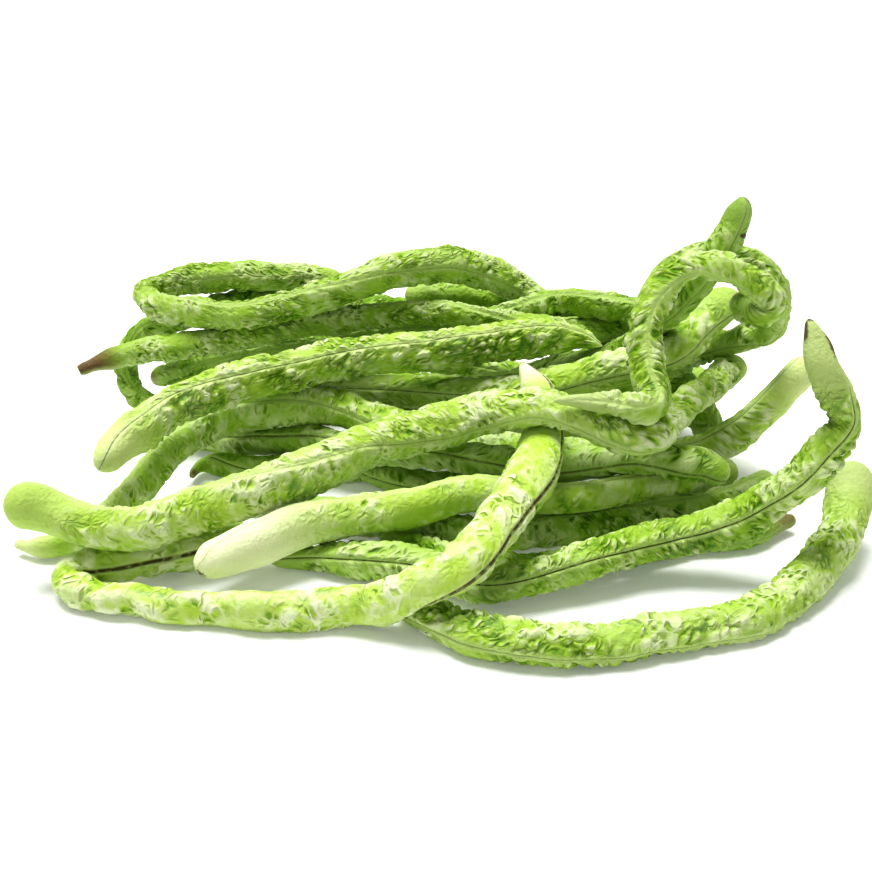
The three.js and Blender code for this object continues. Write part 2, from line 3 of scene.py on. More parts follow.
import bpy
import numpy as np
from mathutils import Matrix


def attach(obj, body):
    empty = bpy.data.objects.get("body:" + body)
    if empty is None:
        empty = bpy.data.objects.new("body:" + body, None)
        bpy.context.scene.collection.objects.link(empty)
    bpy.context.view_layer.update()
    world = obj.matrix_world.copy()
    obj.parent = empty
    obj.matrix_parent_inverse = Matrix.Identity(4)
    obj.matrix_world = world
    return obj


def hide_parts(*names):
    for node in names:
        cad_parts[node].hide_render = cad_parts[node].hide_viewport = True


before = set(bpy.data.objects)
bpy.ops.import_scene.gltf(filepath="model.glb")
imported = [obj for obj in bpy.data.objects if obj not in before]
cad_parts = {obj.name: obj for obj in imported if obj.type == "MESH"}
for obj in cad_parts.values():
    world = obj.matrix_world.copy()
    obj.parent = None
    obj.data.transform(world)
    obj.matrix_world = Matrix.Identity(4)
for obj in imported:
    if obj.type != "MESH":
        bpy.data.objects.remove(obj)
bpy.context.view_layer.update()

# The look of a loose bunch of yardlong beans. Each pod's line, thickness and seam are read from
# its solid in the frame, and a fine wrinkled skin is made along them. Lengths are in mm here,
# and become metres when a mesh is made.

MM = 0.001

# How a pod's solid is laid out
SIDES = 10
CAP_RINGS = 3  # rings in each round end, where the solid's seam is too small to read

# The fine skin
RING_STEP = 0.62  # distance between rings
CAP_STEPS = 9  # extra rings over each round end
ROUND = 48  # points round a ring
CROWDING = 0.3  # how much closer those points stand at the two seams
SWELL = 0.3  # how far the skin's middle stands over the solid's
FLOOR_GAP = 0.15  # lowest point over the table
EVEN_LINE = 2.5  # how far along the pod's line is evened out
EVEN_SEAM = 6.0  # and the way that its seam faces, and its drawn girth
END_ROOM = 2.5  # how many times that reach fits, at the least, between a place and the nearer tip
LEAST_REACH = 1e-3  # and what it never falls below
OVAL = 0.055  # how much wider than round a pod is at its seams, and thinner between them, as a share
INNER_LIMIT = 0.88  # how far the inside of a bend may reach towards the bend's centre, as a share
END_FADE = 2.5  # distance from a tip over which the lumps, the swell and the oval section begin
TINY = 1e-4  # keeps a square root or a division from meeting zero

# Lumps in the mesh
LUMP_DEPTH = 0.8  # how high they stand where the relief is 1
LUMP_SWAY = 0.35  # how far they are pushed out of line, in lumps
LUMP_SWAY_SIZE = 2  # and over how many lumps that changes
LUMP_EDGE = 0.75  # how far in from its edge a lump still rises, in lumps
LUMP_LIMIT = 1.6  # the most that one stands over the middle, in times the usual height
NET_LEAST = 0.25  # the shallowest hollow in a net, as a share of the deepest
PAD_LEAST = 0.5  # the lowest pad, as a share of the highest
PAD_ROUND = 0.8  # under 1, pads are steeper at the edge
SOFT_SIZE = 1.3  # width of the soft bumps laid over the lumps, in lumps
SOFT_SHARE = 0.3  # and their height beside the lumps'
SOFT_DRIFT = 0.3  # how far they are pushed round the pod, in bumps
LINE_MARGIN = 30  # keeps the lumps' rows past the first, however far they are pushed
CELL_ROOM = (0.08, 0.92)  # where in its square the middle of a lump may lie
CELL_START = 1  # row of random numbers that the first tip lies on, for lumps
NOISE_START = 2  # and for soft noise
SPARE_ROWS = 4  # rows of them past the last tip
NOISE_GAIN = 1.6  # brings soft noise to mostly within -1 and 1

# Long swells, where the beans lie under the skin and where the pod is uneven
BEAN_SIZE = 16
BEAN_STRETCH = 3
BEAN_HEIGHT = 0.75
BROAD_SIZE = 13
BROAD_HEIGHT = 0.55
SWELL_FADE = (2, 12)  # distance from a tip over which they begin

# Where a pod is wrinkled, as a share of its relief
PATCH_SIZE = 17
PATCH_STRETCH = 1.3
PATCH_MEAN = 0.85
PATCH_SWING = 0.75
PATCH_LIMITS = (0.12, 1.3)
BARE_START = 0.3  # how much of a smooth end has no wrinkles at all
BARE_LEAST = 0.06  # how wrinkled such skin still is
CALM_BAND = (0.4, 1.7)  # distance from a seam over which the wrinkles come back
CALM_SHARE = 0.85  # how much of them the seam takes away
# The material paints these heights as colour: darker in low places, partly as painted shade, and paler on
# high ones, partly as painted highlight
SHADE_MIDDLE = 0.5  # how high the material takes the middle of the lumps to be, from 0 to 1
SHADE_SWING = 0.15  # and how much higher one that stands out by the usual height

# Seams in the mesh
LIP_HEIGHT = 0.5
LIP_WIDTH = 1.5
GROOVE_DEPTH = 0.9
GROOVE_WIDTH = 0.5
PLAIN_SEAM = 0.5  # how deep the first seam is where it has no dark line
SEAM_FADE = (3, 12)  # distance from a tip over which the seams begin
SPOT_FACING = (0.35, 0.95)  # how squarely skin faces a brown mark's way where the mark begins, and is full

# The finer relief in the material, in wrinkles
FINE_DEPTH = 2.0  # how deep it is in mm where the relief is 1
FINE_MIDDLE = 0.6  # the height that counts as neither ridge nor hollow
FINE_LEAST = 0.35  # how much of it a pod with no relief would still have
CELL_SCALE = 1.3  # its cells to a wrinkle
CELL_SWAY = 1.5  # how far they are pushed out of line
CELL_SWAY_SCALE = 0.8  # and how often that changes, in times to a wrinkle
CELL_WAY = (9, 5, 7)  # the way that each pod's cells are moved, so that no two pods are alike
NET_EDGE = (0.02, 0.45)  # distance from a cell's edge over which a net falls into its hollow
NET_DEPTH = (0.2, 1.0)  # its shallowest and its deepest hollow
PAD_EDGE = (0.0, 0.34)  # distance from a cell's edge over which a pad rises
PAD_RISE = (0.35, 1.0)  # from this height at its edge to this one
PAD_HEIGHT = (0.75, 1.0)  # the lowest and the highest pad
KIND_SIZE = 14  # size in mm of the areas with a net and with pads
KIND_MIDDLE = 0.56  # where one gives way to the other on a pod with no net
KIND_BY_NET = 0.24  # how much sooner it does on a pod that is all net
KIND_EDGE = 0.08  # how far to each side of that the two mix

# The camera, as the photograph has it
PHOTO_SIDE = 872
FOCAL = 1266
SENSOR = 36
EYE = (-2.656, -426.636, 225)
TILT = 25
CLIP_START = 0.01  # in metres

# Table and light, in metres and degrees
TABLE_HALF = 6
TABLE_COLOUR = (0.86, 0.87, 0.87)
TABLE_ROUGHNESS = 0.6
TABLE_GLOW = 0.12
SUN_HEIGHT = 76
SUN_AZIMUTH = 215
SUN_SPREAD = 34
SUN_POWER = 4.1
ROOM_LIGHT = 0.32

# Colours of the tips and stems
LEAF_TIP = (0.42, 0.58, 0.13)
SAGE_TIP = (0.43, 0.52, 0.20)
MOSS_TIP = (0.25, 0.39, 0.07)
PALE_TIP = (0.62, 0.71, 0.30)
CREAM_TIP = (0.86, 0.88, 0.58)
BROWN_TIP = (0.13, 0.07, 0.02)
PLUM_TIP = (0.15, 0.075, 0.045)
GREY_STEM = (0.20, 0.16, 0.07)

# Colours of the skin, each for a deep green pod and for a pale one. The crease colour is partly
# the skin's deeper green and partly painted shade in the hollows, and the rise colour partly its
# paler skin and partly a painted highlight on the raised parts.
CREASE_GREEN_AND_SHADE = ((0.01, 0.08, 0.0), (0.11, 0.31, 0.0))
MIDDLE = ((0.13, 0.30, 0.0), (0.46, 0.65, 0.08))
RISE_PALE_AND_HIGHLIGHT = ((0.35, 0.50, 0.09), (0.77, 0.82, 0.55))
SEAM_DARK = (0.03, 0.024, 0.006)
SCAR = (0.07, 0.04, 0.015)

# Where those colours lie: heights, noise and distances, and how far each colour covers the last
# Painted shade over the low heights and painted highlight over the high ones, each partly the skin's own
# colour
CREASE_SHADE_BAND = (0.08, 0.5)
RISE_HIGHLIGHT_BAND = (0.45, 0.9)
PATCHES_SIZE = 16
PATCHES_BAND = (0.4, 0.75)
PATCHES_SHARE = 0.25
GRAIN_SIZE = 1.1
GRAIN_BAND = (0.35, 0.75)
GRAIN_SHARE = 0.22
TIP_RAGGED = 0.5  # how uneven a tip's colour ends, as a share of its length
TIP_BAND = (0.35, 1.25)  # where it fades, in lengths
TIP_SHARE = 0.92
SEAM_PALE = 0.8  # colour of the skin beside a seam, from the middle colour to the rise
SEAM_PALE_BAND = (0.5, 2.2)
SEAM_PALE_SHARE = 0.4
SEAM_WIDTH = 0.8
SEAM_LINE = (0.12, 0.42)  # where the dark line fades, in widths
SEAM_SHARE = 0.92
BREAK_SIZE = 2.6  # size of the weaker stretches of the dark line
BREAK_BAND = (0.3, 0.55)
BREAK_LEAST = 0.45
SCAR_RAGGED = 0.12
SCAR_BAND = (0.35, 0.8)
SCAR_SHARE = 0.9
EVEN_GRAIN = (0.3, 0.7)  # the range that most of the grain's noise lies in

# How the skin takes the light
ROUGHNESS = (0.42, 0.56)
GLOSS = 0.1
UNDER_SKIN = 0.1  # share of the light that goes under the skin
UNDER_SKIN_REACH = (0.7, 1.0, 0.25)  # how far red, green and blue go there
UNDER_SKIN_SCALE = 2.2  # in this many mm
ROUGH_GRAIN_SIZE = 1.4
ROUGH_GRAIN_DEPTH = 0.3  # as a share of the finer relief
NOISE_WAY = (1, 0.7, 0.3)  # the way that each pod's noise is moved
NOISE_STEP = 0.13  # and how far it is from one pod to the next, in metres

# How one pod looks. first is the side of the heap that its first end is on. relief is the depth
# of the wrinkles, pitch their width, stretch how much wider they are round the pod than along it,
# slant how much they lean, net how much of the relief is a raised net and not pads. The tone, from
# 0, deep green, to 1, pale, is partly the pod's own colour and partly painted shade: it is set low
# on the pods that lie in the heap's shade, such as left_curl, underneath, right_stem and
# right_drop. seam and back_seam are how dark the two seams are. bare gives the length of the smooth
# skin at each end, tips the colour of each end and its length.
#
# Some pods have more. seam_width and seam_tint are the width and colour of the dark lines. girth
# lists how thick the pod is drawn, as a share of its solid, at distances from its first end, and
# last_girth does so from its last end. turn is how many degrees the seams are turned round the
# pod. spots lists brown marks: their distance from the first end, their size and the way they face.
POD_LOOKS = {
    "pod_front_sweep": dict(
        first="right", relief=0.75, pitch=4.2, stretch=1.0, slant=0.5, net=0.2, tone_and_shade=0.62,
        seam=0.45, back_seam=0.1, bare=(30, 14), tips=((SAGE_TIP, 24), (LEAF_TIP, 6)),
    ),
    "pod_front_bow": dict(
        first="right", relief=0.5, pitch=4.4, stretch=1.1, slant=0.3, net=0.5, tone_and_shade=0.92,
        seam=1.0, back_seam=0.0, bare=(90, 20), tips=((CREAM_TIP, 20), (LEAF_TIP, 8)),
        seam_width=2.4, seam_tint=(0.05, 0.02, 0.008), girth=((0, 0.55), (6, 0.8), (16, 1)),
    ),
    "pod_front_left": dict(
        first="left", relief=0.6, pitch=3.8, stretch=1.1, slant=0.5, net=0.35, tone_and_shade=0.78,
        seam=0.35, back_seam=0.7, bare=(40, 18), tips=((LEAF_TIP, 30), (LEAF_TIP, 8)),
    ),
    "pod_right_seam": dict(
        first="right", relief=0.72, pitch=4.0, stretch=1.2, slant=0.6, net=0.15, tone_and_shade=0.52,
        seam=0.9, back_seam=0.4, bare=(40, 20), tips=((SAGE_TIP, 32), (LEAF_TIP, 8)), turn=15,
        girth=((0, 0.5), (6, 0.66), (16, 0.84), (30, 0.86), (46, 1)),
        spots=((4, 5, (-1, 0.1, 0.1)), (1, 2.2, (0, 0, 1)), (11, 9, (1, 0.1, 0.1))),
    ),
    "pod_right_stem": dict(
        first="right", relief=0.6, pitch=3.8, stretch=1.2, slant=0.5, net=0.3, tone_and_shade=0.34,
        seam=0.2, back_seam=0.2, bare=(16, 16), tips=((GREY_STEM, 14), (LEAF_TIP, 8)),
    ),
    "pod_pale_end": dict(
        first="left", relief=0.22, pitch=4.4, stretch=1.2, slant=0.4, net=0.3, tone_and_shade=0.86,
        seam=0.45, back_seam=0.0, bare=(60, 16), tips=((CREAM_TIP, 48), (LEAF_TIP, 8)), turn=25,
        seam_tint=(0.30, 0.20, 0.07), girth=((0, 0.7), (5, 0.9), (12, 1)),
        spots=((2.0, 3.5, (-1, -0.35, -0.2)), (1, 2, (-0.3, -0.6, -0.7))),
    ),
    "pod_flat_seam": dict(
        first="right", relief=0.6, pitch=4.0, stretch=1.5, slant=0.5, net=0.6, tone_and_shade=0.44,
        seam=0.7, back_seam=0.3, bare=(10, 16), tips=((LEAF_TIP, 3), (LEAF_TIP, 8)),
        seam_width=1.4,
    ),
    "pod_middle": dict(
        first="right", relief=0.7, pitch=3.6, stretch=1.2, slant=0.4, net=0.5, tone_and_shade=0.42,
        seam=0.2, back_seam=0.2, bare=(14, 14), tips=((LEAF_TIP, 8), (LEAF_TIP, 8)),
    ),
    "pod_arch": dict(
        first="left", relief=0.5, pitch=3.8, stretch=1.5, slant=0.3, net=0.75, tone_and_shade=0.62,
        seam=0.3, back_seam=0.2, bare=(34, 16), tips=((PALE_TIP, 14), (LEAF_TIP, 8)),
    ),
    "pod_low_stem": dict(
        first="left", relief=0.35, pitch=3.8, stretch=1.7, slant=0.3, net=0.4, tone_and_shade=0.42,
        seam=0.8, back_seam=0.3, bare=(18, 16), tips=((BROWN_TIP, 3.5), (LEAF_TIP, 8)),
        girth=((0, 0.5), (3.5, 0.55), (7, 0.85), (14, 1)),
    ),
    "pod_upper_front": dict(
        first="left", relief=0.85, pitch=5.2, stretch=0.65, slant=0.9, net=0.1, tone_and_shade=0.8,
        seam=0.75, back_seam=0.2, bare=(30, 6), tips=((PALE_TIP, 24), (LEAF_TIP, 6)), turn=34,
        girth=((0, 0.72), (6, 0.92), (14, 1)), last_girth=((0, 0.3), (10, 0.72), (24, 1)),
        spots=((1, 3.2, (-0.3, -0.7, -0.7)), (4, 2.5, (-0.9, -0.5, -0.1))),
    ),
    "pod_brown_tip": dict(
        first="left", relief=0.55, pitch=3.4, stretch=0.8, slant=0.7, net=0.3, tone_and_shade=0.5,
        seam=0.15, back_seam=0.15, bare=(34, 16), tips=((PLUM_TIP, 17), (LEAF_TIP, 8)),
    ),
    "pod_cut_end": dict(
        first="left", relief=0.6, pitch=3.4, stretch=1.0, slant=0.5, net=0.4, tone_and_shade=0.42,
        seam=0.1, back_seam=0.1, bare=(5, 14), tips=((GREY_STEM, 2.4), (LEAF_TIP, 8)),
    ),
    "pod_top_loop": dict(
        first="right", relief=0.65, pitch=4.4, stretch=0.65, slant=0.8, net=0.3, tone_and_shade=0.55,
        seam=0.3, back_seam=0.3, bare=(14, 14), tips=((LEAF_TIP, 8), (LEAF_TIP, 8)),
    ),
    "pod_left_curl": dict(
        first="right", relief=0.6, pitch=3.6, stretch=1.0, slant=0.5, net=0.6, tone_and_shade=0.12,
        seam=0.3, back_seam=0.2, bare=(14, 14), tips=((LEAF_TIP, 8), (LEAF_TIP, 8)),
    ),
    "pod_back_end": dict(
        first="left", relief=0.45, pitch=3.8, stretch=1.2, slant=0.5, net=0.4, tone_and_shade=0.42,
        seam=0.2, back_seam=0.2, bare=(14, 14), tips=((LEAF_TIP, 10), (LEAF_TIP, 8)),
    ),
    "pod_right_diagonal": dict(
        first="right", relief=0.5, pitch=5.6, stretch=0.9, slant=0.7, net=0.1, tone_and_shade=0.72,
        seam=0.7, back_seam=0.3, bare=(20, 14), tips=((LEAF_TIP, 10), (LEAF_TIP, 8)),
    ),
    "pod_knot_front": dict(
        first="left", relief=0.72, pitch=3.7, stretch=1.4, slant=0.5, net=0.25, tone_and_shade=0.58,
        seam=0.1, back_seam=0.1, bare=(24, 8), tips=((SAGE_TIP, 26), (PALE_TIP, 6)),
        girth=((0, 0.4), (8, 0.75), (18, 1.2), (28, 1.2), (40, 0.95), (55, 1)),
    ),
    "pod_knot_back": dict(
        first="right", relief=0.55, pitch=4.0, stretch=1.1, slant=0.6, net=0.3, tone_and_shade=0.46,
        seam=0.5, back_seam=0.3, bare=(14, 14), tips=((LEAF_TIP, 8), (LEAF_TIP, 8)),
    ),
    "pod_top_tip": dict(
        first="right", relief=0.5, pitch=4.2, stretch=1.3, slant=0.5, net=0.3, tone_and_shade=0.25,
        seam=0.4, back_seam=0.3, bare=(16, 14), tips=((MOSS_TIP, 14), (LEAF_TIP, 8)),
        spots=((1.0, 2.5, (0.8, -0.2, 0.6)), (12, 1.2, (1, -0.5, 0))),
    ),
    "pod_pale_right": dict(
        first="right", relief=0.36, pitch=3.2, stretch=3.2, slant=0.5, net=0.6, tone_and_shade=0.86,
        seam=0.5, back_seam=0.2, bare=(30, 14), tips=((PALE_TIP, 22), (LEAF_TIP, 8)),
    ),
    "pod_right_drop": dict(
        first="left", relief=0.4, pitch=4.0, stretch=1.2, slant=0.5, net=0.3, tone_and_shade=0.34,
        seam=0.3, back_seam=0.2, bare=(14, 14), tips=((LEAF_TIP, 8), (LEAF_TIP, 8)),
    ),
    "pod_underneath": dict(
        first="left", relief=0.55, pitch=3.8, stretch=1.2, slant=0.5, net=0.4, tone_and_shade=0.3,
        seam=0.3, back_seam=0.2, bare=(14, 14), tips=((LEAF_TIP, 8), (GREY_STEM, 8)),
    ),
    "pod_behind": dict(
        first="left", relief=0.6, pitch=4.0, stretch=1.1, slant=0.5, net=0.3, tone_and_shade=0.5,
        seam=0.5, back_seam=0.2, bare=(18, 18), tips=((LEAF_TIP, 14), (LEAF_TIP, 14)),
    ),
}
FIRST_SEED = 100  # of the random draws, one more for each pod


def smoothstep(low, high, value):
    """From 0 at low to 1 at high, level at both."""
    share = np.clip((value - low) / (high - low), 0, 1)
    return share * share * (3 - 2 * share)


# Reading a pod's line from its solid
def welded(node):
    """The solid's points in mm, each once, and the neighbours of each."""
    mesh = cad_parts[node].data
    corners = np.array([v.co for v in mesh.vertices]) / MM
    _, first, same = np.unique(np.round(corners, 3), axis=0, return_index=True, return_inverse=True)
    same = same.ravel()
    mesh.calc_loop_triangles()
    beside = [set() for _ in first]
    for triangle in mesh.loop_triangles:
        a, b, c = (int(same[i]) for i in triangle.vertices)
        beside[a] |= {b, c}
        beside[b] |= {a, c}
        beside[c] |= {a, b}
    return corners[first], beside


def first_ring(points, beside, tip):
    """The ring round a tip, in order, turning by the right hand about the way into the pod."""
    ring = [min(beside[tip])]
    while len(ring) < SIDES:
        ring.append(next(n for n in beside[ring[-1]] & beside[tip] if n not in ring))
    centre = points[ring].mean(axis=0)
    turn = np.cross(points[ring[0]] - centre, points[ring[1]] - centre)
    return ring if turn @ (centre - points[tip]) > 0 else ring[::-1]


def rings_of(node, first_side):
    """The rings of the solid from its first tip to its last, and the two tips."""
    points, beside = welded(node)
    tips = sorted((i for i, n in enumerate(beside) if len(n) == SIDES), key=lambda i: points[i][0])
    if first_side == "right":
        tips.reverse()
    rings = [first_ring(points, beside, tips[0])]
    used = {tips[0], *rings[0]}
    while tips[-1] not in beside[rings[-1][0]]:
        last = rings[-1]
        rings.append([min(beside[last[s]] & beside[last[s - 1]] - used) for s in range(SIDES)])
        used |= set(rings[-1])
    return points[np.array(rings)], points[tips[0]], points[tips[-1]]


def line_of(node, first_side):
    """Knots along a pod: distance, centre, mean reach and the way that the first seam faces."""
    rings, first_tip, last_tip = rings_of(node, first_side)
    centres = rings.mean(axis=1)
    spokes = rings - centres[:, None]
    reach = np.linalg.norm(spokes, axis=2)
    ridges = (reach - reach.mean(axis=1, keepdims=True))[CAP_RINGS:-CAP_RINGS]
    seam_side = int(np.argmax(ridges.mean(axis=0)))
    places = np.vstack([first_tip, centres, last_tip])
    halves = np.concatenate([[0], reach.mean(axis=1), [0]])
    seams = spokes[:, seam_side] / reach[:, seam_side, None]
    seams = np.vstack([seams[0], seams, seams[-1]])
    steps = np.linalg.norm(np.diff(places, axis=0), axis=1)
    return np.concatenate([[0], np.cumsum(steps)]), places, halves, seams


# Curves through knots
def hermite(knots, values, slopes, at):
    """Cubic pieces between knots, with the slopes given at the knots."""
    span = np.clip(np.searchsorted(knots, at, side="right") - 1, 0, len(knots) - 2)
    width = knots[span + 1] - knots[span]
    t = (at - knots[span]) / width
    shape = (-1,) + (1,) * (values.ndim - 1)
    t, width = t.reshape(shape), width.reshape(shape)
    return ((2 * t**3 - 3 * t**2 + 1) * values[span] + (t**3 - 2 * t**2 + t) * width * slopes[span]
            + (3 * t**2 - 2 * t**3) * values[span + 1] + (t**3 - t**2) * width * slopes[span + 1])


def smooth_curve(knots, values, at):
    """A smooth curve through points of any dimension."""
    widths = np.diff(knots)[:, None]
    steps = np.diff(values, axis=0) / widths
    inner = (steps[:-1] * widths[1:] + steps[1:] * widths[:-1]) / (widths[:-1] + widths[1:])
    slopes = np.vstack([steps[:1], inner, steps[-1:]])
    return hermite(knots, values, slopes, at)


def steady_curve(knots, values, at):
    """A curve through numbers that never swings past them."""
    widths = np.diff(knots)
    steps = np.diff(values) / widths
    before, after = widths[:-1], widths[1:]
    same_way = steps[:-1] * steps[1:] > 0
    safe = np.where(same_way, steps[:-1] * steps[1:], 1)
    weighted = 3 * (before + after) * safe
    divisor = (2 * after + before) * steps[1:] + (after + 2 * before) * steps[:-1]
    inner = np.where(same_way, weighted / np.where(divisor == 0, 1, divisor), 0)
    slopes = np.concatenate([[steps[0]], inner, [steps[-1]]])
    return hermite(knots, values, slopes, at)


# Noise over a pod's skin: along is in cells, around is in cells and comes round after count
def soft_noise(along, around, count, rng):
    """Smooth noise with its hills and hollows about one cell apart, mostly within -1 and 1."""
    heading = rng.uniform(0, 2 * math.pi, (int(along.max()) + SPARE_ROWS, count))
    slopes = np.stack([np.cos(heading), np.sin(heading)], axis=-1)
    row, column = np.floor(along).astype(int), np.floor(around).astype(int)
    s, t = along - row, around - column
    corner = [[slopes[row + r, (column + c) % count, 0] * (s - r)
               + slopes[row + r, (column + c) % count, 1] * (t - c) for c in (0, 1)] for r in (0, 1)]
    fade_s, fade_t = (x**3 * (x * (6 * x - 15) + 10) for x in (s, t))
    low = corner[0][0] * (1 - fade_t) + corner[0][1] * fade_t
    high = corner[1][0] * (1 - fade_t) + corner[1][1] * fade_t
    return NOISE_GAIN * (low * (1 - fade_s) + high * fade_s)


def cells(along, around, count, rng):
    """Distance to the nearest and to the second nearest of loosely set points, and the number,
    from 0 to 1, that the nearest one has."""
    rows = int(along.max()) + SPARE_ROWS
    jitter = rng.uniform(*CELL_ROOM, (rows, count, 2))
    number = rng.uniform(0, 1, (rows, count))
    row, column = np.floor(along).astype(int), np.floor(around).astype(int)
    near = np.full(along.shape, np.inf)
    second = np.full(along.shape, np.inf)
    own = np.zeros(along.shape)
    for r in (-1, 0, 1):
        for c in (-1, 0, 1):
            i, j = np.clip(row + r, 0, rows - 1), (column + c) % count
            apart = np.hypot(row + r + jitter[i, j, 0] - along, column + c + jitter[i, j, 1] - around)
            closer = apart < near
            second = np.where(closer, near, np.minimum(second, apart))
            own = np.where(closer, number[i, j], own)
            near = np.where(closer, apart, near)
    return near, second, own


def seam_distances(angle):
    """How far round, in radians, the first seam and the back seam are."""
    from_first = np.abs((angle + math.pi) % (2 * math.pi) - math.pi)
    return from_first, math.pi - from_first


def skin_relief(distance, angle, half, length, look, rng):
    """The larger lumps of the skin: their height in mm, how high each place is from 0 to 1, which the
    material paints darker in the hollows, partly as painted shade, and paler on the rises, partly as
    painted highlight, and how wrinkled it is, from 0 to about 1. The order of the random draws sets the
    look."""
    girth = 2 * math.pi * float(np.median(half))
    share = (angle / (2 * math.pi)) % 1
    by_first, by_back = seam_distances(angle)
    from_seam = np.minimum(by_first, by_back) * half
    pitch = look["pitch"]

    def soft(size, stretch, course, drift=0.0):
        count = max(3, round(girth / (size * stretch)))
        return soft_noise(course / size + NOISE_START, (share * count + drift) % count, count, rng)

    broad = soft(BROAD_SIZE, 1, distance)
    sway = soft(LUMP_SWAY_SIZE * pitch, 1, distance)
    sway_round = soft(LUMP_SWAY_SIZE * pitch, 1, distance)
    course = distance + look["slant"] * from_seam + LUMP_SWAY * pitch * sway + LINE_MARGIN
    count = max(3, round(girth / (pitch * look["stretch"])))
    around = (share * count + LUMP_SWAY * sway_round) % count
    near, second, own = cells(course / pitch + CELL_START, around, count, rng)
    edge = smoothstep(0, LUMP_EDGE, second - near)
    net = 1 - edge * (NET_LEAST + (1 - NET_LEAST) * own)
    pads = edge**PAD_ROUND * (PAD_LEAST + (1 - PAD_LEAST) * own)
    height = look["net"] * net + (1 - look["net"]) * pads
    height = height + SOFT_SHARE * soft(SOFT_SIZE * pitch, 1, course, SOFT_DRIFT * sway_round)
    height = (height - height.mean()) / height.std()
    height = LUMP_LIMIT * np.tanh(height / LUMP_LIMIT)

    patch = np.clip(PATCH_MEAN + PATCH_SWING * soft(PATCH_SIZE, PATCH_STRETCH, distance), *PATCH_LIMITS)
    bare_first, bare_last = look["bare"]
    grown = smoothstep(BARE_START * bare_first, bare_first, distance)
    grown = grown * smoothstep(BARE_START * bare_last, bare_last, length - distance)
    calm_back = look["back_seam"] * (1 - smoothstep(*CALM_BAND, by_back * half))
    calm = np.maximum(1 - smoothstep(*CALM_BAND, by_first * half), calm_back)
    wrinkled = patch * (BARE_LEAST + (1 - BARE_LEAST) * grown) * (1 - CALM_SHARE * calm)

    bumps = LUMP_DEPTH * look["relief"] * wrinkled * height
    swell = BEAN_HEIGHT * soft(BEAN_SIZE, BEAN_STRETCH, distance) + BROAD_HEIGHT * broad
    swell = swell * smoothstep(*SWELL_FADE, np.minimum(distance, length - distance))
    shade = SHADE_MIDDLE + SHADE_SWING * height * np.clip(wrinkled, 0, 1)
    return bumps + swell, shade, wrinkled


def wrinkle_place(distance, angle, half, look):
    """Where each point lies on the straightened pod, in wrinkles, for the finer relief."""
    leaning = distance + look["slant"] * np.minimum(*seam_distances(angle)) * half
    wide = look["pitch"] * look["stretch"]
    sideways, upward = half * np.cos(angle) / wide, half * np.sin(angle) / wide
    return np.stack([leaning / look["pitch"], sideways, upward], axis=-1)


def seam_profile(from_seam, depth):
    """Two low lips beside a fine groove."""
    lips = LIP_HEIGHT * depth * np.exp(-((from_seam / LIP_WIDTH) ** 2))
    return lips - GROOVE_DEPTH * depth * np.exp(-((from_seam / GROOVE_WIDTH) ** 2))


def scar_marks(look, distance, outward):
    """How brown each point is, from 0 to 1."""
    scar = np.zeros_like(distance)
    for place, size, way in look.get("spots", ()):
        facing = (outward * (np.array(way) / np.linalg.norm(way))).sum(axis=2)
        mark = np.exp(-(((distance - place) / size) ** 2)) * smoothstep(*SPOT_FACING, facing)
        scar = np.maximum(scar, mark)
    return scar


# Making the skin
def stations(length, half_first, half_last):
    """Distances of the rings from the first tip, closer over the round ends."""
    turn = np.linspace(0, math.pi / 2, CAP_STEPS + 1)[1:]
    first = half_first * (1 - np.cos(turn))
    last = length - half_last * (1 - np.cos(turn))[::-1]
    count = round((last[0] - first[-1]) / RING_STEP)
    return np.concatenate([first[:-1], np.linspace(first[-1], last[0], count), last[1:]])


def evened(values, at, reach):
    """Values averaged along the pod over about this reach, and less far near its two ends."""
    width = np.minimum(reach, np.minimum(at, at[-1] - at) / END_ROOM + LEAST_REACH)[:, None]
    weights = np.exp(-(((at[None, :] - at[:, None]) / width) ** 2) / 2) * np.gradient(at)[None, :]
    return weights @ values / weights.sum(axis=1)[:, None]


def directions(centre, seam, at):
    """At each ring the way along the pod, towards its first seam, and across both."""
    tangent = np.gradient(centre, at, axis=0)
    tangent /= np.linalg.norm(tangent, axis=1)[:, None]
    seam = seam - tangent * (seam * tangent).sum(axis=1)[:, None]
    seam /= np.linalg.norm(seam, axis=1)[:, None]
    return tangent, seam, np.cross(tangent, seam)


def drawn_girth(look, at, length):
    """How thick the pod is drawn, as a share of its solid."""
    share = np.ones_like(at)
    for key, place in (("girth", at), ("last_girth", length - at)):
        if key in look:
            distances, sizes = zip(*look[key])
            share = share * evened(np.interp(place, distances, sizes)[:, None], at, EVEN_SEAM)[:, 0]
    return share


